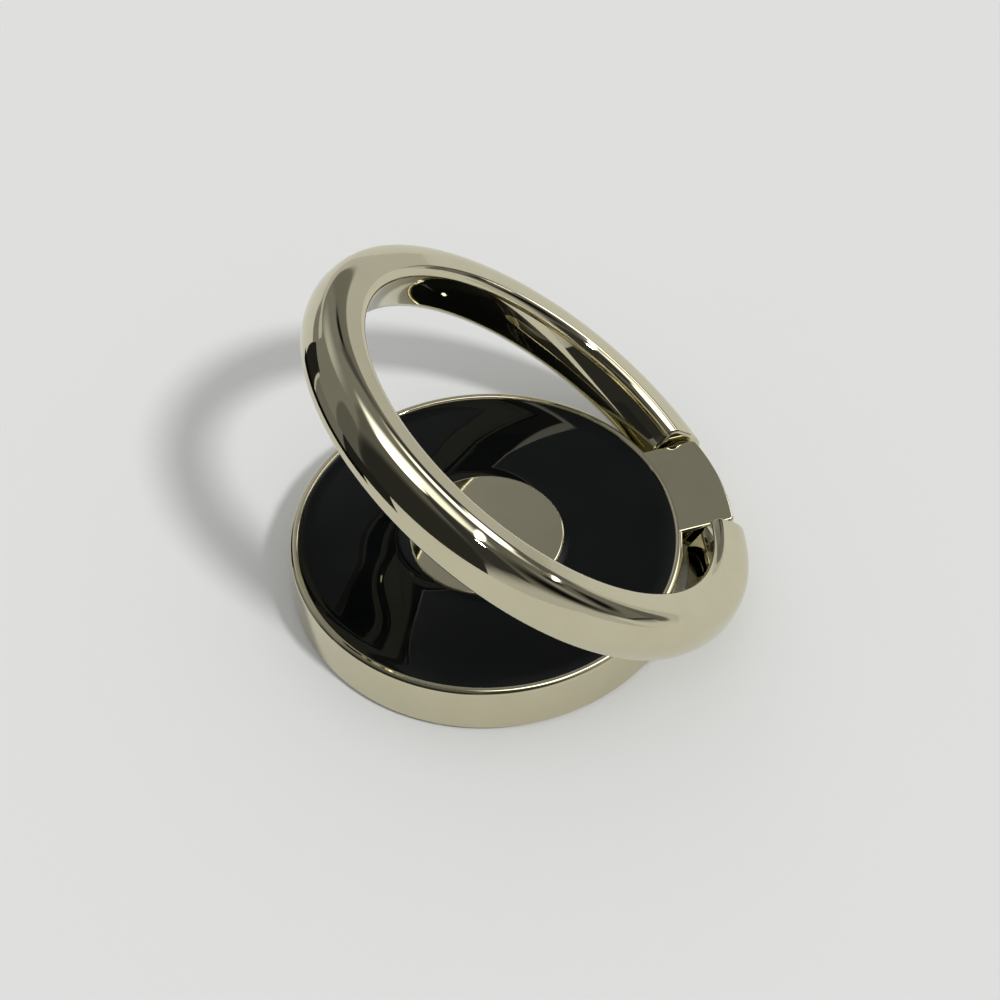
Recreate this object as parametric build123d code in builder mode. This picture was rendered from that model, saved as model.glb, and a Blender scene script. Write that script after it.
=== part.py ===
from build123d import *
import os
from math import cos, radians, sin

# Phone ring holder: a plated zinc disc with a black enamel face and a finger ring that swings up on a
# hinge block at its edge. The disc swivels on a steel plate, which a foam tape pad bonds to a phone.
# The origin is the centre of the pad's bonding face, +Z points away from the phone, and the hinge block
# is on +X. All sizes are in millimetres and degrees.

# Housing
BASE_RADIUS = 15.06
WALL_LEAN = 0.16  # casting draft: the wall leans in by this much from the skirt up to the rim
HOUSING_HEIGHT = 4.06
HOUSING_LIFT = 0.35  # the skirt's lower edge stays this far above the phone
RIM_WIDTH = 0.63
RIM_ROUND = 0.35
SKIRT_ROUND = 0.15
SKIRT_WALL = 1.1
WEB_THICKNESS = 0.8  # metal under the enamel
LEDGE_WIDTH = 1.2  # step round the pocket, over the swivel plate's edge
BOSS_RADIUS = 5.0

# Hinge block
BLOCK_WIDTH = 8.66
BLOCK_SETBACK = 0.42  # the block's outer face lies this far inside the ring's
BLOCK_CORNER = 0.4
BLOCK_EDGE = 0.22

# Enamel and medallion
ENAMEL_DEPTH = 0.7
ENAMEL_SAG = 0.12
MENISCUS_WIDTH = 1.1
MEDALLION_RADIUS = 5.9
EDGE_ROUND = 0.18  # metal edges that border the enamel

# Finger ring
RING_GAP = 0.49  # radial, folded down round the housing
RING_WIDTH = 3.73
RING_THICKNESS = 4.14
RING_PROUD = 0.16  # folded, the ring's top stands this far above the rim
RING_FLAT = 1.75  # width of the flat top, from the inner wall out
SHOULDER_TURN = 25  # the outer side turns by this much over each shoulder
CORNER_TURN = 40
CORNER_RADIUS = 1.0
RING_EDGE = 0.65
RING_END_ROUND = 0.25
RING_ANGLE = 38.04  # how far the ring is swung up as built, 0 is folded flat

# Hinge
HINGE_OUTSET = 0.085  # from the middle of the ring's width, away from the housing
HINGE_GAP = 0.29  # between the block's sides and the ring's ends
PIN_RADIUS = 0.7
PIN_GRIP = 1.2  # length of pin in each end of the ring
PIN_CLEARANCE = 0.03
PIN_CHAMFER = 0.15
BORE_END_GAP = 0.15
WASHER_RADIUS = 1.15
WASHER_THICKNESS = 0.15

# Swivel
PAD_THICKNESS = 0.5
PAD_SETBACK = 0.35
PLATE_THICKNESS = 0.6
PLATE_SIDE_GAP = 0.3
PLATE_TOP_GAP = 0.3
PLATE_BEND = 0.3
DISH_RADIUS = 5.4
DISH_SLOPE = 1.1
DISH_RISE = 0.95
STACK_GAP = 0.02
RIVET_RADIUS = 1.5
RIVET_CLEARANCE = 0.05
RIVET_HEAD_RADIUS = 3.2
RIVET_HEAD_THICKNESS = 0.45
RIVET_HEAD_LIFT = 0.05
RIVET_GRIP = 1.4
RIVET_CHAMFER = 0.2
RIVET_END_GAP = 0.1
WASHER_HOLE_CLEARANCE = 0.2  # disc and spring round the rivet
DISC_RADIUS = 4.7
DISC_THICKNESS = 0.25
SPRING_RADIUS = 3.0
SPRING_THICKNESS = 0.2

# Heights of the swivel stack, from the phone up
plate_bottom = PAD_THICKNESS
plate_top = plate_bottom + PLATE_THICKNESS
dish_bottom = plate_bottom + DISH_RISE
dish_top = dish_bottom + PLATE_THICKNESS
disc_bottom = dish_top + STACK_GAP
boss_face = disc_bottom + DISC_THICKNESS + STACK_GAP
head_bottom = plate_bottom + RIVET_HEAD_LIFT
head_top = head_bottom + RIVET_HEAD_THICKNESS
spring_bottom = head_top + STACK_GAP
spring_top = dish_bottom - STACK_GAP
washer_hole = RIVET_RADIUS + WASHER_HOLE_CLEARANCE
plate_hole = RIVET_RADIUS + RIVET_CLEARANCE

# Housing levels and radii
housing_top = HOUSING_LIFT + HOUSING_HEIGHT
enamel_floor = housing_top - ENAMEL_DEPTH
enamel_edge = housing_top - EDGE_ROUND
enamel_surface = enamel_edge - ENAMEL_SAG
core_ceiling = enamel_floor - WEB_THICKNESS
ledge = plate_top + PLATE_TOP_GAP
rim_radius = BASE_RADIUS - WALL_LEAN
enamel_radius = rim_radius - RIM_WIDTH
rim_crown = enamel_radius + (RIM_WIDTH + EDGE_ROUND - RIM_ROUND) / 2
pocket_radius = BASE_RADIUS - SKIRT_WALL
core_radius = pocket_radius - LEDGE_WIDTH
plate_radius = pocket_radius - PLATE_SIDE_GAP
pad_radius = plate_radius - PAD_SETBACK

# Ring and hinge
ring_inner = BASE_RADIUS + RING_GAP
ring_outer = ring_inner + RING_WIDTH
ring_half = RING_THICKNESS / 2
hinge_x = (ring_inner + ring_outer) / 2 + HINGE_OUTSET
hinge_z = housing_top + RING_PROUD - ring_half
block_half = BLOCK_WIDTH / 2
block_radius = ring_outer - BLOCK_SETBACK
ring_end = block_half + HINGE_GAP
pin_half = ring_end + PIN_GRIP
hinge_bore = PIN_RADIUS + PIN_CLEARANCE

# Arcs of the ring's outer side: shoulder, corner and wall are tangent and fill its width and thickness
shoulder = ring_inner + RING_FLAT
wall_turn = 90 - SHOULDER_TURN - CORNER_TURN
turn_1 = radians(SHOULDER_TURN)
turn_2 = radians(SHOULDER_TURN + CORNER_TURN)
width_left = ring_outer - shoulder - CORNER_RADIUS * (sin(turn_2) - sin(turn_1))
height_left = ring_half - CORNER_RADIUS * (cos(turn_1) - cos(turn_2))
share = sin(turn_1) * cos(turn_2) - (1 - sin(turn_2)) * (1 - cos(turn_1))
shoulder_radius = (width_left * cos(turn_2) - height_left * (1 - sin(turn_2))) / share
wall_radius = (height_left * sin(turn_1) - width_left * (1 - cos(turn_1))) / share

# The ring's own frame, swung up about the hinge: origin at its centre, local +X towards the hinge
ring_x_dir = Vector(cos(radians(RING_ANGLE)), 0, -sin(radians(RING_ANGLE)))
ring_normal = Vector(sin(radians(RING_ANGLE)), 0, cos(radians(RING_ANGLE)))
hinge_point = Vector(hinge_x, 0, hinge_z)
ring_frame = Plane(hinge_point - ring_x_dir * hinge_x, x_dir=ring_x_dir, z_dir=ring_normal)
ring_section_plane = Plane(ring_frame.origin, x_dir=ring_x_dir, z_dir=(0, -1, 0))

os.makedirs("parts", exist_ok=True)


def flat_washer(plane, outer_radius, hole_radius, thickness):
    """A flat washer standing on a plane."""
    with BuildPart() as washer:
        with BuildSketch(plane):
            Circle(outer_radius)
            Circle(hole_radius, mode=Mode.SUBTRACT)
        extrude(amount=thickness)
    return washer.part


# Hinge block of the housing, its inner end buried in the rim
with BuildPart() as hinge_block:
    with BuildSketch(Plane.XY.offset(HOUSING_LIFT)):
        Circle(block_radius)
        with Locations((block_radius / 2, 0)):
            Rectangle(block_radius, BLOCK_WIDTH, mode=Mode.INTERSECT)
        Circle(rim_crown, mode=Mode.SUBTRACT)
    extrude(amount=HOUSING_HEIGHT)
    fillet(hinge_block.edges().filter_by(Axis.Z).group_by(Axis.X)[-1], BLOCK_CORNER)
    inner_face = hinge_block.faces().sort_by(Axis.X)[0]
    top_edges = hinge_block.faces().sort_by(Axis.Z)[-1].edges() - inner_face.edges()
    fillet(top_edges, BLOCK_EDGE)
    inner_face = hinge_block.faces().sort_by(Axis.X)[0]
    low_edges = hinge_block.faces().sort_by(Axis.Z)[0].edges() - inner_face.edges()
    fillet(low_edges, SKIRT_ROUND)

# Housing: die-cast disc with a skirt, a cored underside with a rivet boss, and the hinge block
with BuildPart() as housing:
    with BuildSketch(Plane.XZ) as housing_section:
        with BuildLine():
            Polyline(
                (0, boss_face),
                (BOSS_RADIUS, boss_face),
                (BOSS_RADIUS, core_ceiling),
                (core_radius, core_ceiling),
                (core_radius, ledge),
                (pocket_radius, ledge),
                (pocket_radius, HOUSING_LIFT),
                (BASE_RADIUS, HOUSING_LIFT),
                (rim_radius, housing_top),
                (enamel_radius, housing_top),
                (enamel_radius, enamel_floor),
                (0, enamel_floor),
                close=True,
            )
        make_face()
        fillet(housing_section.vertices().group_by(Axis.Y)[0].sort_by(Axis.X)[-1], SKIRT_ROUND)
        fillet(housing_section.vertices().group_by(Axis.Y)[-1].sort_by(Axis.X)[-1], RIM_ROUND)
        fillet(housing_section.vertices().group_by(Axis.Y)[-1].sort_by(Axis.X)[0], EDGE_ROUND)
    revolve(axis=Axis.Z)
    add(hinge_block.part)
    with BuildSketch(Plane.XY.offset(enamel_floor)):
        Circle(MEDALLION_RADIUS)
    extrude(amount=ENAMEL_DEPTH)
    fillet(housing.edges(Select.LAST).group_by(Axis.Z)[-1], EDGE_ROUND)
    with BuildSketch(Plane(hinge_point, z_dir=(0, 1, 0))):
        Circle(PIN_RADIUS)
    extrude(amount=block_half, both=True, mode=Mode.SUBTRACT)
    with BuildSketch(Plane.XY.offset(boss_face)):
        Circle(RIVET_RADIUS)
    extrude(amount=RIVET_GRIP + RIVET_END_GAP, mode=Mode.SUBTRACT)
housing.part.label = "housing"
export_step(housing.part, "parts/housing.step")

# Enamel: poured black resin that climbs a little at the rim and at the medallion
with BuildPart() as enamel_inlay:
    with BuildSketch(Plane.XZ):
        with BuildLine():
            Polyline(
                (MEDALLION_RADIUS, enamel_edge),
                (MEDALLION_RADIUS, enamel_floor),
                (enamel_radius, enamel_floor),
                (enamel_radius, enamel_edge),
            )
            outer_foot = (enamel_radius - MENISCUS_WIDTH, enamel_surface)
            inner_foot = (MEDALLION_RADIUS + MENISCUS_WIDTH, enamel_surface)
            TangentArc(outer_foot, (enamel_radius, enamel_edge), tangent=(1, 0))
            Line(outer_foot, inner_foot)
            TangentArc(inner_foot, (MEDALLION_RADIUS, enamel_edge), tangent=(-1, 0))
        make_face()
    revolve(axis=Axis.Z)
enamel_inlay.part.label = "enamel_inlay"
export_step(enamel_inlay.part, "parts/enamel_inlay.step")

# Finger ring: one open loop, flat inside and full round outside, with a blind pin bore in each end
with BuildPart() as finger_ring:
    with BuildSketch(ring_section_plane) as ring_section:
        with BuildLine():
            top_shoulder = JernArc((shoulder, ring_half), (1, 0), shoulder_radius, -SHOULDER_TURN)
            top_corner = JernArc(top_shoulder @ 1, top_shoulder % 1, CORNER_RADIUS, -CORNER_TURN)
            side_wall = JernArc(top_corner @ 1, top_corner % 1, wall_radius, -2 * wall_turn)
            low_corner = JernArc(side_wall @ 1, side_wall % 1, CORNER_RADIUS, -CORNER_TURN)
            low_shoulder = JernArc(low_corner @ 1, low_corner % 1, shoulder_radius, -SHOULDER_TURN)
            Polyline(
                low_shoulder @ 1,
                (ring_inner, -ring_half),
                (ring_inner, ring_half),
                (shoulder, ring_half),
            )
        make_face()
        fillet(ring_section.vertices().group_by(Axis.X)[0], RING_EDGE)
    revolve(axis=Axis(ring_frame.origin, ring_frame.z_dir))
    with BuildSketch(ring_frame.offset(-ring_half)):
        with Locations((ring_outer, 0)):
            Rectangle(2 * ring_outer, 2 * ring_end)
    extrude(amount=RING_THICKNESS, mode=Mode.SUBTRACT)
    fillet(finger_ring.faces().filter_by(Axis.Y).edges(), RING_END_ROUND)
    for side in (-1, 1):
        with BuildSketch(Plane((hinge_x, side * ring_end, hinge_z), z_dir=(0, side, 0))):
            Circle(hinge_bore)
        extrude(amount=PIN_GRIP + BORE_END_GAP, mode=Mode.SUBTRACT)
finger_ring.part.label = "finger_ring"
export_step(finger_ring.part, "parts/finger_ring.step")

# Hinge pin: pressed through the block, its ends turn in the ring's bores
with BuildPart() as hinge_pin:
    with BuildSketch(Plane(hinge_point, z_dir=(0, 1, 0))):
        Circle(PIN_RADIUS)
    extrude(amount=pin_half, both=True)
    pin_ends = hinge_pin.edges().filter_by(GeomType.CIRCLE).group_by(Axis.Y)
    chamfer(pin_ends[0] + pin_ends[-1], PIN_CHAMFER)
hinge_pin.part.label = "hinge_pin"
export_step(hinge_pin.part, "parts/hinge_pin.step")

# Hinge washers: thin friction washers between the block's sides and the ring's ends
for name, side in (("hinge_washer_front", -1), ("hinge_washer_back", 1)):
    washer_y = side * (block_half + (HINGE_GAP - WASHER_THICKNESS) / 2)
    washer_plane = Plane((hinge_x, washer_y, hinge_z), z_dir=(0, side, 0))
    hinge_washer = flat_washer(washer_plane, WASHER_RADIUS, hinge_bore, WASHER_THICKNESS)
    hinge_washer.label = name
    export_step(hinge_washer, f"parts/{name}.step")

# Swivel plate: stamped steel, its middle dished up to make room for the rivet's head and spring
with BuildPart() as swivel_plate:
    with BuildSketch(Plane.XZ) as plate_section:
        with BuildLine():
            Polyline(
                (plate_hole, dish_bottom),
                (DISH_RADIUS, dish_bottom),
                (DISH_RADIUS + DISH_SLOPE, plate_bottom),
                (plate_radius, plate_bottom),
                (plate_radius, plate_top),
                (DISH_RADIUS + DISH_SLOPE, plate_top),
                (DISH_RADIUS, dish_top),
                (plate_hole, dish_top),
                close=True,
            )
        make_face()
        plate_corners = plate_section.vertices().group_by(Axis.X)
        fillet(plate_corners[1] + plate_corners[2], PLATE_BEND)
    revolve(axis=Axis.Z)
swivel_plate.part.label = "swivel_plate"
export_step(swivel_plate.part, "parts/swivel_plate.step")

# Centre rivet: its shank is pressed into the housing's boss, the plate turns on it
with BuildPart() as center_rivet:
    with BuildSketch(Plane.XY.offset(head_bottom)):
        Circle(RIVET_HEAD_RADIUS)
    extrude(amount=RIVET_HEAD_THICKNESS)
    with BuildSketch(Plane.XY.offset(head_top)):
        Circle(RIVET_RADIUS)
    extrude(amount=boss_face + RIVET_GRIP - head_top)
    chamfer(center_rivet.edges().sort_by(Axis.Z)[-1], RIVET_CHAMFER)
center_rivet.part.label = "center_rivet"
export_step(center_rivet.part, "parts/center_rivet.step")

# Friction disc: nylon, between the plate's dish and the boss
disc_plane = Plane.XY.offset(disc_bottom)
friction_disc = flat_washer(disc_plane, DISC_RADIUS, washer_hole, DISC_THICKNESS)
friction_disc.label = "friction_disc"
export_step(friction_disc, "parts/friction_disc.step")

# Disc spring: a coned washer on the rivet's head that presses the dish against the friction disc
with BuildPart() as disc_spring:
    with BuildSketch(Plane.XZ):
        with BuildLine():
            Polyline(
                (SPRING_RADIUS, spring_bottom),
                (SPRING_RADIUS, spring_bottom + SPRING_THICKNESS),
                (washer_hole, spring_top),
                (washer_hole, spring_top - SPRING_THICKNESS),
                close=True,
            )
        make_face()
    revolve(axis=Axis.Z)
disc_spring.part.label = "disc_spring"
export_step(disc_spring.part, "parts/disc_spring.step")

# Adhesive pad: foam tape disc that bonds the plate to the phone
with BuildPart() as adhesive_pad:
    Cylinder(pad_radius, PAD_THICKNESS, align=(Align.CENTER, Align.CENTER, Align.MIN))
adhesive_pad.part.label = "adhesive_pad"
export_step(adhesive_pad.part, "parts/adhesive_pad.step")
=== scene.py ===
from math import asin, atan, atan2, cos, hypot, pi, radians, sin, sqrt, tan

import bpy
from mathutils import Matrix, Vector


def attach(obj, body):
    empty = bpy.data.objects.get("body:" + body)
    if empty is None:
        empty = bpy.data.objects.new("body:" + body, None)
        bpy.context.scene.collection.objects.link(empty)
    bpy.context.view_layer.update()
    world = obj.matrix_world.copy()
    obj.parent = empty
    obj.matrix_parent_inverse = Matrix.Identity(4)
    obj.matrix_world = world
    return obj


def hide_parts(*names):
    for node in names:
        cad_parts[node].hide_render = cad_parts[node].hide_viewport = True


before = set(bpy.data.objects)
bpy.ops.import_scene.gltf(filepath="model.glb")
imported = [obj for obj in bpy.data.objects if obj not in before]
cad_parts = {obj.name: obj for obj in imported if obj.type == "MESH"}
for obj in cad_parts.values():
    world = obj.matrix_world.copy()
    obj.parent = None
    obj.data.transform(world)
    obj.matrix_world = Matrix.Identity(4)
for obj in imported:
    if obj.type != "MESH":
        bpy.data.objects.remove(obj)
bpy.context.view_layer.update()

MM = 0.001

# View of the photograph
VIEW_TARGET = Vector((1.988, 3.075, 4.186)) * MM
VIEW_AZIMUTH = -15.72
VIEW_ELEVATION = 48.878
VIEW_ROLL = 1.38
VIEW_DISTANCE = 153.915 * MM
VIEW_LENS = 72.0
SENSOR_WIDTH = 36.0

# Studio, in metres and degrees
FLOOR_RADIUS = 4.0
FLOOR_COLOUR = (0.74, 0.745, 0.735)
FLOOR_ROUGHNESS = 0.9
FLOOR_GLOSS = 0.1
AMBIENT_LEVEL = 0.60
KEY_AZIMUTH = -58.0
KEY_ELEVATION = 51.0
KEY_ANGLE = 7.0
KEY_STRENGTH = 1.6
HORIZON_COLOUR = (0.60, 0.60, 0.59)
WALL_COLOUR = (0.21, 0.21, 0.20)
CEILING_COLOUR = (0.14, 0.14, 0.135)
HORIZON_TOP = 0.06  # heights on the room's unit sphere
WALL_FOOT = 0.09
CEILING_HEIGHT = 0.75
CARD_DISTANCE = 1.8
CARD_STEP = 0.04  # each card hangs this much nearer than the one before

# Soft-edged cards that only the metal and the enamel mirror: azimuth, elevation, half width and half
# height in degrees as seen from the part, tilt, how square the card is, the share that fades, radiance
CARDS = {
    "back_wall": (119, 31, 72, 35, -22, 2, 0.2, 0.25),
    "back_light": (105, 38, 36, 23, 0, 2, 1.0, 0.6),
    "left_wall": (165, 13, 10, 29, 13, 4, 0.2, 0.14),
    "left_dark": (-148, 18, 46, 39, -7, 3, 0.4, 0.03),
    "front_dark": (-82, 48, 39, 20, 64, 3, 0.3, 0.045),
    "right_dark": (-18, 31, 34, 19, -25, 2, 0.8, 0.006),
    "front_pale": (-78, -6, 66, 35, 13, 4, 0.6, 0.59),
    "horizon_right": (-5, 3, 31, 10, -27, 2, 0.5, 0.72),
    "horizon_back": (82, 6, 50, 6, 17, 2, 0.3, 0.6),
    "right_grey": (4, 24, 7, 12, -26, 2, 0.9, 0.32),
    "right_haze": (19, 56, 22, 20, -56, 2, 0.5, 1.7),
    "low_band": (17, 5, 9, 3, 7, 2, 0.3, 0.15),
    "low_line": (4, 9, 13, 1, -24, 2, 0.5, 0.05),
    "dark_right": (12, 15, 11, 4, -5, 2, 0.7, 0.008),
    "dark_right_high": (13, 22, 8, 2, -43, 2, 0.8, 0.01),
    "dark_left": (53, 21, 8, 4, -35, 2, 0.7, 0.008),
    "dark_low": (37, 13, 4, 11, 0, 2, 0.1, 0.05),
    "dark_left_slope": (47, 21, 4, 14, -39, 2, 0.7, 0.09),
    "dark_low_slope": (30, 9, 12, 3, -51, 2, 0.6, 0.13),
    "dark_high": (27, 28, 10, 6, 0, 2, 0.4, 0.09),
    "ceiling_panel": (37, 69, 15, 30, 0, 6, 1.0, 4.0),
    "key_bulb": (-50, 56, 2, 2, 0, 2, 0.4, 120.0),
    "zenith": (20, 84, 13, 13, 0, 2, 0.3, 4.0),
    "panel_spur": (-2, 48, 25, 1.5, -38, 2, 0.4, 4.0),
    "lamp": (30, 23, 11, 7, 4, 2.5, 1.0, 4.0),
    "lamp_tail": (29, 17, 2.5, 12, 36, 2, 0.6, 4.0),
    "lamp_streak": (20, 17, 8, 0.5, -40, 2, 0.4, 6.0),
}

# Low curved flags beside the ring's raised end that only the metal mirrors, in millimetres: range of
# azimuth and of elevation in degrees as seen from there, radiance
FLAG_CENTRE = (-11.0, 0.0, 24.5)
FLAG_DISTANCE = 46.0
FLAG_FOOT = 0.1  # no flag reaches below this height
FLAG_STEPS = 16
FLAGS = {
    "flag_low": (118, 182, -29, -19.5, 0.004),
    "flag_arch": (121, 137, -20, 8, 0.02),
    "flag_line": (137, 139, -19.5, 5, 0.6),
    "flag_grey": (139, 169, -19.5, 1, 0.2),
    "flag_left": (169, 205, -19.5, 1, 0.02),
}

# Finishes: metal or not, two colours that a soft noise mixes, range of roughness, patches and waves of
# relief per metre, height of the waves in millimetres
FINISHES = {
    "plated_zinc": (1, (0.635, 0.595, 0.425), (0.615, 0.575, 0.405), 0.02, 0.05, 350, 220, 0.015),
    "black_enamel": (0, (0.0020, 0.0026, 0.0025), (0.0030, 0.0036, 0.0035), 0.015, 0.04, 300, 110, 0.9),
    "bright_steel": (1, (0.62, 0.62, 0.60), (0.54, 0.54, 0.525), 0.18, 0.32, 900, 2500, 0.003),
    "white_nylon": (0, (0.85, 0.84, 0.80), (0.79, 0.78, 0.735), 0.45, 0.6, 900, 4000, 0.004),
    "foam_tape": (0, (0.030, 0.030, 0.032), (0.018, 0.018, 0.019), 0.8, 0.95, 3000, 6000, 0.03),
}
PATCH_COLOURS = (0.35, 0.65)  # range of the patches' noise over which the colours mix
PATCH_GLOSS = (0.3, 0.7)  # and over which the roughness changes
PATCH_DETAIL = 3
ENAMEL_GLOSS = 0.2
ENAMEL_CALM = 0.15  # the waves' share at the back right, where the pour lies flat
CALM_DIRECTION = (-0.7, -0.7, 0)
CALM_REACH = 8.0  # millimetres to either side of the axis over which the waves fade

# What each solid is made of
SLOTS = {
    "housing": "plated_zinc",
    "enamel_inlay": "black_enamel",
    "finger_ring": "plated_zinc",
    "hinge_pin": "bright_steel",
    "hinge_washer_front": "white_nylon",
    "hinge_washer_back": "white_nylon",
    "swivel_plate": "bright_steel",
    "center_rivet": "bright_steel",
    "friction_disc": "white_nylon",
    "disc_spring": "bright_steel",
    "adhesive_pad": "foam_tape",
}

# The part's sizes in millimetres and degrees, as in its source
BASE_RADIUS = 15.06
WALL_LEAN = 0.16
HOUSING_HEIGHT = 4.06
HOUSING_LIFT = 0.35
RIM_WIDTH = 0.63
RIM_ROUND = 0.35
SKIRT_ROUND = 0.15
POCKET_RADIUS = 13.96
CORE_RADIUS = 12.76
LEDGE = 1.4
CORE_CEILING = 2.91
BOSS_RADIUS = 5.0
BOSS_FACE = 2.34
RIVET_RADIUS = 1.5
RIVET_BORE_TOP = 3.84
BLOCK_HALF = 4.33
BLOCK_RADIUS = 18.86
BLOCK_CORNER = 0.4
BLOCK_EDGE = 0.22
ENAMEL_DEPTH = 0.7
ENAMEL_SAG = 0.12
MENISCUS_WIDTH = 1.1
MEDALLION_RADIUS = 5.9
EDGE_ROUND = 0.18
RING_INNER = 15.55
RING_OUTER = 19.28
RING_HALF = 2.07
RING_FLAT = 1.75
SHOULDER_TURN = 25.0
CORNER_TURN = 40.0
CORNER_RADIUS = 1.0
RING_EDGE = 0.65
RING_END = 4.62
RING_END_ROUND = 0.25
RING_ANGLE = 38.04
HINGE_X = 17.5
HINGE_Z = 2.5
HINGE_BORE = 0.73
BORE_DEPTH = 1.35

# Turn of the inner wall's normals at its edges, which shades the straight wall as slightly crowned
RING_CROWN = 13.0

HOUSING_TOP = HOUSING_LIFT + HOUSING_HEIGHT
RIM_RADIUS = BASE_RADIUS - WALL_LEAN
ENAMEL_RADIUS = RIM_RADIUS - RIM_WIDTH
ENAMEL_FLOOR = HOUSING_TOP - ENAMEL_DEPTH
ENAMEL_EDGE = HOUSING_TOP - EDGE_ROUND
ENAMEL_SURFACE = ENAMEL_EDGE - ENAMEL_SAG

# Fineness of the polished skins
TURN_STEPS = 512
SWEEP_STEPS = 400
ROUND_STEPS = 8
FACE_STEPS = 24
WALL_STEPS = 16
RING_EDGE_STEPS = 12
SHOULDER_STEPS = 10
CORNER_STEPS = 14
SAME_POINT = 1e-6
SIDE_START = 1e-4  # sets the start of the block's side apart from the corner before it


def direction(azimuth, elevation):
    """Unit vector towards a point of the studio, azimuth from +X towards +Y."""
    a, e = radians(azimuth), radians(elevation)
    return Vector((cos(a) * cos(e), sin(a) * cos(e), sin(e)))


def add_camera():
    """The camera of the photograph, with its small roll."""
    a, e = radians(VIEW_AZIMUTH), radians(VIEW_ELEVATION)
    back = Vector((sin(a) * cos(e), -cos(a) * cos(e), sin(e)))
    right = Vector((cos(a), sin(a), 0.0))
    up = back.cross(right)
    turn = Matrix((right, up, back)).transposed().to_4x4() @ Matrix.Rotation(radians(-VIEW_ROLL), 4, "Z")
    camera = bpy.data.objects.new("camera", bpy.data.cameras.new("camera"))
    camera.data.sensor_width = SENSOR_WIDTH
    camera.data.lens = VIEW_LENS
    camera.data.clip_start = 0.001
    camera.matrix_world = Matrix.Translation(VIEW_TARGET + back * VIEW_DISTANCE) @ turn
    bpy.context.scene.collection.objects.link(camera)
    bpy.context.scene.camera = camera


def material(name):
    """A new material with its nodes, its links and its shader."""
    made = bpy.data.materials.new(name)
    made.use_nodes = True
    nodes = made.node_tree.nodes
    return made, nodes, made.node_tree.links, nodes["Principled BSDF"]


def flat_sheet(name, half_x, half_y):
    """A flat rectangle about the origin, facing +Z."""
    mesh = bpy.data.meshes.new(name)
    corners = [(-half_x, -half_y, 0), (half_x, -half_y, 0), (half_x, half_y, 0), (-half_x, half_y, 0)]
    mesh.from_pydata(corners, [], [(0, 1, 2, 3)])
    sheet = bpy.data.objects.new(name, mesh)
    bpy.context.scene.collection.objects.link(sheet)
    return sheet


def add_floor():
    floor = flat_sheet("floor", FLOOR_RADIUS, FLOOR_RADIUS)
    made, _, _, shader = material("floor")
    shader.inputs["Base Color"].default_value = (*FLOOR_COLOUR, 1)
    shader.inputs["Roughness"].default_value = FLOOR_ROUGHNESS
    shader.inputs["Specular IOR Level"].default_value = FLOOR_GLOSS
    floor.data.materials.append(made)


def add_world():
    """Even light for all but mirrors, which show a dim room with a pale horizon."""
    world = bpy.data.worlds.new("studio")
    world.use_nodes = True
    bpy.context.scene.world = world
    nodes, links = world.node_tree.nodes, world.node_tree.links
    nodes.clear()
    path = nodes.new("ShaderNodeLightPath")
    ambient = nodes.new("ShaderNodeBackground")
    ambient.inputs["Color"].default_value = (1, 1, 1, 1)
    ambient.inputs["Strength"].default_value = AMBIENT_LEVEL
    room = nodes.new("ShaderNodeBackground")
    coord = nodes.new("ShaderNodeTexCoord")
    split = nodes.new("ShaderNodeSeparateXYZ")
    ramp = nodes.new("ShaderNodeValToRGB")
    links.new(coord.outputs["Generated"], split.inputs[0])
    links.new(split.outputs["Z"], ramp.inputs["Fac"])
    horizon, wall = ramp.color_ramp.elements
    horizon.position = HORIZON_TOP
    horizon.color = (*HORIZON_COLOUR, 1)
    wall.position = WALL_FOOT
    wall.color = (*WALL_COLOUR, 1)
    ramp.color_ramp.elements.new(CEILING_HEIGHT).color = (*CEILING_COLOUR, 1)
    links.new(ramp.outputs["Color"], room.inputs["Color"])
    mix = nodes.new("ShaderNodeMixShader")
    out = nodes.new("ShaderNodeOutputWorld")
    links.new(path.outputs["Is Glossy Ray"], mix.inputs["Fac"])
    links.new(ambient.outputs[0], mix.inputs[1])
    links.new(room.outputs[0], mix.inputs[2])
    links.new(mix.outputs[0], out.inputs["Surface"])


def add_key():
    """The light that casts the shadow. A small card stands for it in mirrors."""
    light = bpy.data.lights.new("key", "SUN")
    light.energy = KEY_STRENGTH
    light.angle = radians(KEY_ANGLE)
    lamp = bpy.data.objects.new("key", light)
    lamp.rotation_mode = "QUATERNION"
    lamp.rotation_quaternion = direction(KEY_AZIMUTH, KEY_ELEVATION).to_track_quat("Z", "Y")
    lamp.visible_glossy = False
    bpy.context.scene.collection.objects.link(lamp)


def mirror_only(sheet):
    """Leaves a sheet to be seen in reflections alone."""
    sheet.visible_camera = False
    sheet.visible_diffuse = False
    sheet.visible_shadow = False
    sheet.visible_transmission = False


def add_flag(name, start, end, low, high, level):
    """A curved upright sheet of one even tone."""
    mesh = bpy.data.meshes.new(name)
    points = []
    for i in range(FLAG_STEPS + 1):
        a = radians(start + (end - start) * i / FLAG_STEPS)
        x, y = FLAG_CENTRE[0] + FLAG_DISTANCE * cos(a), FLAG_CENTRE[1] + FLAG_DISTANCE * sin(a)
        for e in (low, high):
            z = max(FLAG_FOOT, FLAG_CENTRE[2] + FLAG_DISTANCE * tan(radians(e)))
            points.append(Vector((x, y, z)) * MM)
    mesh.from_pydata(points, [], [(i, i + 2, i + 3, i + 1) for i in range(0, 2 * FLAG_STEPS, 2)])
    flag = bpy.data.objects.new(name, mesh)
    bpy.context.scene.collection.objects.link(flag)
    mirror_only(flag)
    made, nodes, links, shader = material(name)
    nodes.remove(shader)
    glow = nodes.new("ShaderNodeEmission")
    glow.inputs["Color"].default_value = (level, level, level, 1)
    links.new(glow.outputs[0], nodes["Material Output"].inputs["Surface"])
    mesh.materials.append(made)


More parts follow.
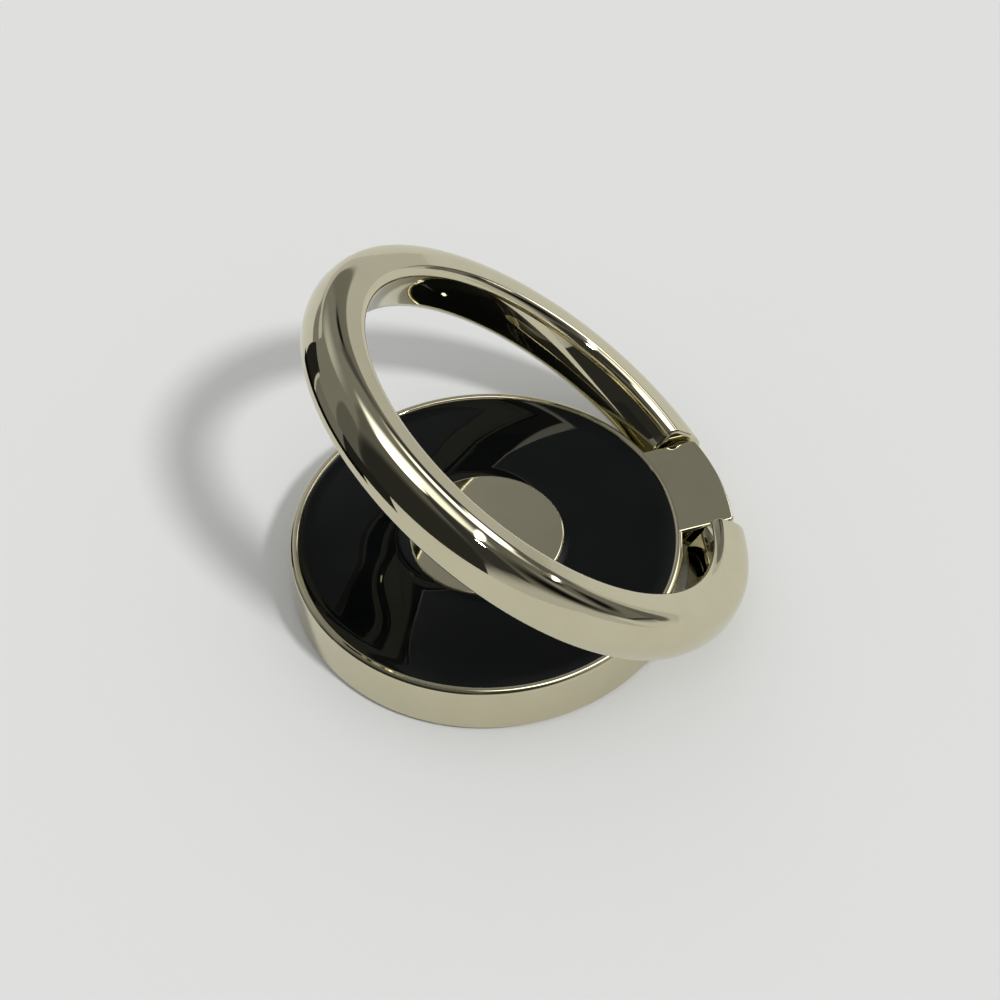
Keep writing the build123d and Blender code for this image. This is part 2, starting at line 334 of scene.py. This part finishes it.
def add_card(name, distance, azimuth, elevation, wide, tall, tilt, square, fade, level):
    """A card that faces the part and fades out towards its oval or squarish edge."""
    card = flat_sheet(name, distance * tan(radians(wide)), distance * tan(radians(tall)))
    towards = direction(azimuth, elevation)
    across = Vector((-sin(radians(azimuth)), cos(radians(azimuth)), 0))
    turn = Matrix((across, towards.cross(across), towards)).transposed().to_4x4()
    spin = Matrix.Rotation(radians(tilt), 4, "Z")
    card.matrix_world = Matrix.Translation(towards * distance) @ turn @ spin
    mirror_only(card)
    made, nodes, links, shader = material(name)
    nodes.remove(shader)
    coord = nodes.new("ShaderNodeTexCoord")
    centred = nodes.new("ShaderNodeVectorMath")
    centred.operation = "MULTIPLY_ADD"
    centred.inputs[1].default_value = (2, 2, 0)
    centred.inputs[2].default_value = (-1, -1, 0)
    links.new(coord.outputs["Generated"], centred.inputs[0])
    split = nodes.new("ShaderNodeSeparateXYZ")
    links.new(centred.outputs["Vector"], split.inputs[0])

    def power(socket, exponent):
        node = nodes.new("ShaderNodeMath")
        node.operation = "POWER"
        node.inputs[1].default_value = exponent
        links.new(socket, node.inputs[0])
        return node.outputs[0]

    def size(socket):
        node = nodes.new("ShaderNodeMath")
        node.operation = "ABSOLUTE"
        links.new(socket, node.inputs[0])
        return power(node.outputs[0], square)

    total = nodes.new("ShaderNodeMath")
    links.new(size(split.outputs["X"]), total.inputs[0])
    links.new(size(split.outputs["Y"]), total.inputs[1])
    reach = power(total.outputs[0], 1 / square)
    mask = nodes.new("ShaderNodeMapRange")
    mask.interpolation_type = "SMOOTHSTEP"
    mask.inputs["From Min"].default_value = 1.0
    mask.inputs["From Max"].default_value = 1.0 - fade
    links.new(reach, mask.inputs["Value"])
    clear = nodes.new("ShaderNodeBsdfTransparent")
    glow = nodes.new("ShaderNodeEmission")
    glow.inputs["Color"].default_value = (level, level, level, 1)
    mix = nodes.new("ShaderNodeMixShader")
    links.new(mask.outputs["Result"], mix.inputs["Fac"])
    links.new(clear.outputs[0], mix.inputs[1])
    links.new(glow.outputs[0], mix.inputs[2])
    links.new(mix.outputs[0], nodes["Material Output"].inputs["Surface"])
    card.data.materials.append(made)


def calmed(nodes, links, coord, relief):
    """The relief, which fades from the front left to the back right."""
    across = nodes.new("ShaderNodeVectorMath")
    across.operation = "DOT_PRODUCT"
    across.inputs[1].default_value = CALM_DIRECTION
    links.new(coord.outputs["Object"], across.inputs[0])
    share = nodes.new("ShaderNodeMapRange")
    share.interpolation_type = "SMOOTHSTEP"
    share.inputs["From Min"].default_value = -CALM_REACH * MM
    share.inputs["From Max"].default_value = CALM_REACH * MM
    share.inputs["To Min"].default_value = ENAMEL_CALM
    links.new(across.outputs["Value"], share.inputs["Value"])
    product = nodes.new("ShaderNodeMath")
    product.operation = "MULTIPLY"
    links.new(relief, product.inputs[0])
    links.new(share.outputs["Result"], product.inputs[1])
    return product.outputs[0]


def finish(name):
    """A finish of the table, with its noise in the object's own coordinates."""
    metal, colour_a, colour_b, smooth, rough, patches, waves, height = FINISHES[name]
    made, nodes, links, shader = material(name)
    coord = nodes.new("ShaderNodeTexCoord")

    def noise(scale, detail):
        texture = nodes.new("ShaderNodeTexNoise")
        texture.inputs["Scale"].default_value = scale
        texture.inputs["Detail"].default_value = detail
        links.new(coord.outputs["Object"], texture.inputs["Vector"])
        return texture.outputs["Fac"]

    patch = noise(patches, PATCH_DETAIL)
    colour = nodes.new("ShaderNodeValToRGB")
    for stop, position, tone in zip(colour.color_ramp.elements, PATCH_COLOURS, (colour_a, colour_b)):
        stop.position = position
        stop.color = (*tone, 1)
    links.new(patch, colour.inputs["Fac"])
    links.new(colour.outputs["Color"], shader.inputs["Base Color"])
    gloss = nodes.new("ShaderNodeMapRange")
    gloss.inputs["From Min"].default_value = PATCH_GLOSS[0]
    gloss.inputs["From Max"].default_value = PATCH_GLOSS[1]
    gloss.inputs["To Min"].default_value = smooth
    gloss.inputs["To Max"].default_value = rough
    links.new(patch, gloss.inputs["Value"])
    links.new(gloss.outputs["Result"], shader.inputs["Roughness"])
    bump = nodes.new("ShaderNodeBump")
    bump.inputs["Strength"].default_value = 1.0
    bump.inputs["Distance"].default_value = height * MM
    relief = noise(waves, 0)
    if name == "black_enamel":
        relief = calmed(nodes, links, coord, relief)
        shader.inputs["Specular IOR Level"].default_value = ENAMEL_GLOSS
    links.new(relief, bump.inputs["Height"])
    links.new(bump.outputs["Normal"], shader.inputs["Normal"])
    shader.inputs["Metallic"].default_value = metal
    return made


class Skin:
    """A mesh in the making, in millimetres, with its own normal at every corner of every face."""

    def __init__(self):
        self.points = []
        self.faces = []
        self.normals = []

    def row(self, points):
        """Adds a row of points and returns their numbers."""
        first = len(self.points)
        self.points += points
        return list(range(first, len(self.points)))

    def strip(self, row_a, row_b, normals_a, normals_b):
        """Faces between two closed rows. A row of one repeated point is a pole."""
        count = len(row_a)
        for i in range(count):
            j = (i + 1) % count
            corners = {}
            for point, normal in (
                (row_a[i], normals_a[i]),
                (row_b[i], normals_b[i]),
                (row_b[j], normals_b[j]),
                (row_a[j], normals_a[j]),
            ):
                corners.setdefault(point, normal)
            self.faces.append(tuple(corners))
            self.normals += corners.values()

    def cap(self, row, normal):
        """One flat face over a closed row."""
        self.faces.append(tuple(row))
        self.normals += [normal] * len(row)

    def build(self, name, body, node, coat):
        """Makes the piece, which rides on a body in place of a solid."""
        mesh = bpy.data.meshes.new(name)
        mesh.from_pydata([Vector(p) * MM for p in self.points], [], self.faces)
        mesh.normals_split_custom_set(self.normals)
        mesh.materials.append(coat)
        piece = bpy.data.objects.new(name, mesh)
        bpy.context.scene.collection.objects.link(piece)
        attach(piece, body)
        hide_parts(node)


def line(a, b):
    """A straight run of a section, its normal on the left."""
    dr, dz = b[0] - a[0], b[1] - a[1]
    long = hypot(dr, dz)
    normal = (-dz / long, dr / long)
    return [(*a, *normal), (*b, *normal)]


def arc(centre, radius, start, end, steps, side=1):
    """A round run of a section between two angles in degrees. Side -1 turns its normal to the centre."""
    run = []
    for i in range(steps + 1):
        a = radians(start + (end - start) * i / steps)
        c, s = cos(a), sin(a)
        run.append((centre[0] + radius * c, centre[1] + radius * s, side * c, side * s))
    return run


def revolve(skin, runs):
    """Turns the runs of a section, clockwise from the axis, about Z."""
    turns = [2 * pi * i / TURN_STEPS for i in range(TURN_STEPS)]
    rows = {}

    def row(r, z):
        key = (round(r, 6), round(z, 6))
        if key not in rows:
            if r == 0:
                rows[key] = skin.row([(0, 0, z)]) * TURN_STEPS
            else:
                rows[key] = skin.row([(r * cos(t), r * sin(t), z) for t in turns])
        return rows[key]

    def normals(nr, nz):
        return [(nr * cos(t), nr * sin(t), nz) for t in turns]

    for run in runs:
        for a, b in zip(run, run[1:]):
            skin.strip(row(*a[:2]), row(*b[:2]), normals(*a[2:]), normals(*b[2:]))


def block_outline(inset):
    """The hinge block's outline seen from above, moved in, as points with their normals."""
    half, outer, corner = BLOCK_HALF - inset, BLOCK_RADIUS - inset, BLOCK_CORNER - inset
    centre_y = BLOCK_HALF - BLOCK_CORNER
    centre_x = sqrt((BLOCK_RADIUS - BLOCK_CORNER) ** 2 - centre_y ** 2)
    swing = atan2(centre_y, centre_x)
    inner = RIM_RADIUS - RIM_ROUND
    outline = []
    for i in range(FACE_STEPS):
        y = half * (1 - 2 * i / FACE_STEPS)
        outline.append((sqrt(inner ** 2 - y ** 2), y, -1, 0))
    side = [(sqrt(inner ** 2 - half ** 2) + SIDE_START, -half, 0, -1), (centre_x, -half, 0, -1)]
    outline += side
    for i in range(1, ROUND_STEPS + 1):
        a = -pi / 2 + (pi / 2 - swing) * i / ROUND_STEPS
        outline.append((centre_x + corner * cos(a), -centre_y + corner * sin(a), cos(a), sin(a)))
    for i in range(1, FACE_STEPS):
        a = swing * (2 * i / FACE_STEPS - 1)
        outline.append((outer * cos(a), outer * sin(a), cos(a), sin(a)))
    for i in range(ROUND_STEPS):
        a = swing + (pi / 2 - swing) * i / ROUND_STEPS
        outline.append((centre_x + corner * cos(a), centre_y + corner * sin(a), cos(a), sin(a)))
    outline += [(x, -y, 0, 1) for x, y, nx, ny in reversed(side)]
    return outline


def add_block(skin):
    """The hinge block, its inner end buried in the rim."""
    levels = []
    for i in range(ROUND_STEPS + 1):
        a = pi / 2 * (1 - i / ROUND_STEPS)
        levels.append((BLOCK_EDGE * (1 - cos(a)), HOUSING_TOP - BLOCK_EDGE * (1 - sin(a)), a))
    for i in range(ROUND_STEPS + 1):
        a = -pi / 2 * i / ROUND_STEPS
        levels.append((SKIRT_ROUND * (1 - cos(a)), HOUSING_LIFT + SKIRT_ROUND * (1 + sin(a)), a))
    rows = []
    for inset, z, a in levels:
        outline = block_outline(inset)
        row = skin.row([(x, y, z) for x, y, nx, ny in outline])
        rows.append((row, [(nx * cos(a), ny * cos(a), sin(a)) for x, y, nx, ny in outline]))
    for (row_a, normals_a), (row_b, normals_b) in zip(rows, rows[1:]):
        skin.strip(row_a, row_b, normals_a, normals_b)
    skin.cap(rows[0][0], (0, 0, 1))
    skin.cap(rows[-1][0][::-1], (0, 0, -1))


def add_housing(coat):
    """The polished housing: the same disc and block as the solid, finely turned."""
    lean = atan(WALL_LEAN / HOUSING_HEIGHT)
    turn = lean * 180 / pi
    rim_x = RIM_RADIUS - RIM_ROUND * (1 - sin(lean)) / cos(lean)
    skirt_x = BASE_RADIUS - SKIRT_ROUND * (1 + sin(lean)) / cos(lean)
    inner_edge = MEDALLION_RADIUS - EDGE_ROUND
    outer_edge = ENAMEL_RADIUS + EDGE_ROUND
    rim_round = arc((rim_x, HOUSING_TOP - RIM_ROUND), RIM_ROUND, 90, turn, 2 * ROUND_STEPS)
    skirt_round = arc((skirt_x, HOUSING_LIFT + SKIRT_ROUND), SKIRT_ROUND, turn, -90, ROUND_STEPS)
    skin = Skin()
    revolve(skin, [
        line((0, HOUSING_TOP), (inner_edge, HOUSING_TOP)),
        arc((inner_edge, ENAMEL_EDGE), EDGE_ROUND, 90, 0, ROUND_STEPS),
        line((MEDALLION_RADIUS, ENAMEL_EDGE), (MEDALLION_RADIUS, ENAMEL_FLOOR)),
        line((MEDALLION_RADIUS, ENAMEL_FLOOR), (ENAMEL_RADIUS, ENAMEL_FLOOR)),
        line((ENAMEL_RADIUS, ENAMEL_FLOOR), (ENAMEL_RADIUS, ENAMEL_EDGE)),
        arc((outer_edge, ENAMEL_EDGE), EDGE_ROUND, 180, 90, ROUND_STEPS),
        line((outer_edge, HOUSING_TOP), (rim_x, HOUSING_TOP)),
        rim_round,
        line(rim_round[-1][:2], skirt_round[0][:2]),
        skirt_round,
        line((skirt_x, HOUSING_LIFT), (POCKET_RADIUS, HOUSING_LIFT)),
        line((POCKET_RADIUS, HOUSING_LIFT), (POCKET_RADIUS, LEDGE)),
        line((POCKET_RADIUS, LEDGE), (CORE_RADIUS, LEDGE)),
        line((CORE_RADIUS, LEDGE), (CORE_RADIUS, CORE_CEILING)),
        line((CORE_RADIUS, CORE_CEILING), (BOSS_RADIUS, CORE_CEILING)),
        line((BOSS_RADIUS, CORE_CEILING), (BOSS_RADIUS, BOSS_FACE)),
        line((BOSS_RADIUS, BOSS_FACE), (RIVET_RADIUS, BOSS_FACE)),
        line((RIVET_RADIUS, BOSS_FACE), (RIVET_RADIUS, RIVET_BORE_TOP)),
        line((RIVET_RADIUS, RIVET_BORE_TOP), (0, RIVET_BORE_TOP)),
    ])
    add_block(skin)
    skin.build("housing_skin", "head", "housing", coat)


def add_enamel(coat):
    """The poured enamel, which climbs a little at the rim and at the medallion."""
    curve = (MENISCUS_WIDTH ** 2 + ENAMEL_SAG ** 2) / (2 * ENAMEL_SAG)
    climb = asin(MENISCUS_WIDTH / curve) * 180 / pi
    inner, outer = MEDALLION_RADIUS + MENISCUS_WIDTH, ENAMEL_RADIUS - MENISCUS_WIDTH
    top = ENAMEL_SURFACE + curve
    skin = Skin()
    revolve(skin, [
        line((MEDALLION_RADIUS, ENAMEL_FLOOR), (MEDALLION_RADIUS, ENAMEL_EDGE)),
        arc((inner, top), curve, -90 - climb, -90, ROUND_STEPS, -1),
        line((inner, ENAMEL_SURFACE), (outer, ENAMEL_SURFACE)),
        arc((outer, top), curve, -90, -90 + climb, ROUND_STEPS, -1),
        line((ENAMEL_RADIUS, ENAMEL_EDGE), (ENAMEL_RADIUS, ENAMEL_FLOOR)),
        line((ENAMEL_RADIUS, ENAMEL_FLOOR), (MEDALLION_RADIUS, ENAMEL_FLOOR)),
    ])
    skin.build("enamel_skin", "head", "enamel_inlay", coat)


def ring_section():
    """The ring's closed section, counter-clockwise, as radius and height with their normals."""
    turn_1, turn_2 = radians(SHOULDER_TURN), radians(SHOULDER_TURN + CORNER_TURN)
    shoulder = RING_INNER + RING_FLAT
    width = RING_OUTER - shoulder - CORNER_RADIUS * (sin(turn_2) - sin(turn_1))
    height = RING_HALF - CORNER_RADIUS * (cos(turn_1) - cos(turn_2))
    share = sin(turn_1) * cos(turn_2) - (1 - sin(turn_2)) * (1 - cos(turn_1))
    shoulder_radius = (width * cos(turn_2) - height * (1 - sin(turn_2))) / share
    wall_radius = (height * sin(turn_1) - width * (1 - cos(turn_1))) / share
    shoulder_z = RING_HALF - shoulder_radius
    corner_r = shoulder + (shoulder_radius - CORNER_RADIUS) * sin(turn_1)
    corner_z = shoulder_z + (shoulder_radius - CORNER_RADIUS) * cos(turn_1)
    edge_r, edge_z = RING_INNER + RING_EDGE, RING_HALF - RING_EDGE
    first, second = 90 - SHOULDER_TURN, 90 - SHOULDER_TURN - CORNER_TURN

    def inner_edge(run):
        """The edge's round, with normals that run on into those of the inner wall."""
        turned = []
        for r, z, nr, nz in run:
            a = radians(RING_CROWN) + (1 - RING_CROWN / 90) * asin(min(1, abs(nz)))
            turned.append((r, z, -cos(a), sin(a) if z > 0 else -sin(a)))
        return turned

    wall = []
    for i in range(1, WALL_STEPS):
        height_share = 1 - 2 * i / WALL_STEPS
        a = radians(RING_CROWN * height_share)
        wall.append((RING_INNER, edge_z * height_share, -cos(a), sin(a)))
    runs = [
        inner_edge(arc((edge_r, -edge_z), RING_EDGE, 180, 270, RING_EDGE_STEPS)),
        arc((shoulder, -shoulder_z), shoulder_radius, -90, -first, SHOULDER_STEPS),
        arc((corner_r, -corner_z), CORNER_RADIUS, -first, -second, CORNER_STEPS),
        arc((RING_OUTER - wall_radius, 0), wall_radius, -second, second, FACE_STEPS),
        arc((corner_r, corner_z), CORNER_RADIUS, second, first, CORNER_STEPS),
        arc((shoulder, shoulder_z), shoulder_radius, first, 90, SHOULDER_STEPS),
        inner_edge(arc((edge_r, edge_z), RING_EDGE, 90, 180, RING_EDGE_STEPS)),
        wall,
    ]
    section = []
    for run in runs:
        for point in run:
            if not section or hypot(point[0] - section[-1][0], point[1] - section[-1][1]) > SAME_POINT:
                section.append(point)
    return section


def add_ring(coat):
    """The polished finger ring: the solid's section swept from end to end, with its pin bores."""
    section = ring_section()
    c, s = cos(radians(RING_ANGLE)), sin(radians(RING_ANGLE))
    centre_x, centre_z = HINGE_X * (1 - c), HINGE_Z + HINGE_X * s

    def place(x, y, z):
        """A point of the flat ring, swung to its angle on the hinge."""
        return (centre_x + c * x + s * z, y, centre_z - s * x + c * z)

    def turned(x, y, z):
        """A direction, swung the same way."""
        return (c * x + s * z, y, -s * x + c * z)

    skin = Skin()

    def sweep(inset, distance, side, along, tip):
        """A row over the section, moved in, at a distance from the middle plane or along the sweep."""
        points, normals = [], []
        keep = sqrt(1 - tip * tip)
        for r, z, nr, nz in section:
            r, z = r - inset * nr, z - inset * nz
            a = side * asin(distance / r)
            if along:
                a += along * (2 * pi - 2 * a)
            points.append(place(r * cos(a), r * sin(a), z))
            normal = Vector((keep * nr * cos(a), keep * nr * sin(a) - side * tip, keep * nz)).normalized()
            normals.append(turned(*normal))
        return skin.row(points), normals

    def bore(distance, side):
        """A row round the pin's bore, with as many points as the section."""
        points, normals = [], []
        for r, z, nr, nz in section:
            a = atan2(z, r - HINGE_X)
            points.append(place(HINGE_X + HINGE_BORE * cos(a), side * distance, HINGE_BORE * sin(a)))
            normals.append(turned(-cos(a), 0, -sin(a)))
        return skin.row(points), normals

    def end_rows(side):
        """Rows from the flat end over its rounded edge to the sweep."""
        rows = []
        for i in range(ROUND_STEPS + 1):
            a = pi / 2 * (1 - i / ROUND_STEPS)
            inset, distance = RING_END_ROUND * (1 - cos(a)), RING_END + RING_END_ROUND * (1 - sin(a))
            rows.append(sweep(inset, distance, side, 0, sin(a)))
        return rows

    first_end, last_end = end_rows(1), end_rows(-1)
    body = [sweep(0, RING_END + RING_END_ROUND, 1, i / SWEEP_STEPS, 0) for i in range(1, SWEEP_STEPS)]
    rows = first_end + body + last_end[::-1]
    for (row_a, normals_a), (row_b, normals_b) in zip(rows, rows[1:]):
        skin.strip(row_a, row_b, normals_a, normals_b)
    for side, (rim, _) in ((1, first_end[0]), (-1, last_end[0])):
        outwards = turned(0, -side, 0)
        flat = [outwards] * len(section)
        mouth, mouth_normals = bore(RING_END, side)
        floor, floor_normals = bore(RING_END + BORE_DEPTH, side)
        if side > 0:
            skin.strip(mouth, rim, flat, flat)
            skin.strip(floor, mouth, floor_normals, mouth_normals)
            skin.cap(floor[::-1], outwards)
        else:
            skin.strip(rim, mouth, flat, flat)
            skin.strip(mouth, floor, mouth_normals, floor_normals)
            skin.cap(floor, outwards)
    skin.build("ring_skin", "loop", "finger_ring", coat)


add_camera()
add_floor()
add_world()
add_key()
for number, (name, card) in enumerate(CARDS.items()):
    add_card(name, CARD_DISTANCE - number * CARD_STEP, *card)
for name, flag in FLAGS.items():
    add_flag(name, *flag)
finishes = {name: finish(name) for name in FINISHES}
for name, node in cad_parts.items():
    node.data.materials.clear()
    node.data.materials.append(finishes[SLOTS[name]])
add_housing(finishes["plated_zinc"])
add_enamel(finishes["black_enamel"])
add_ring(finishes["plated_zinc"])

bpy.context.scene.view_settings.view_transform = "Standard"
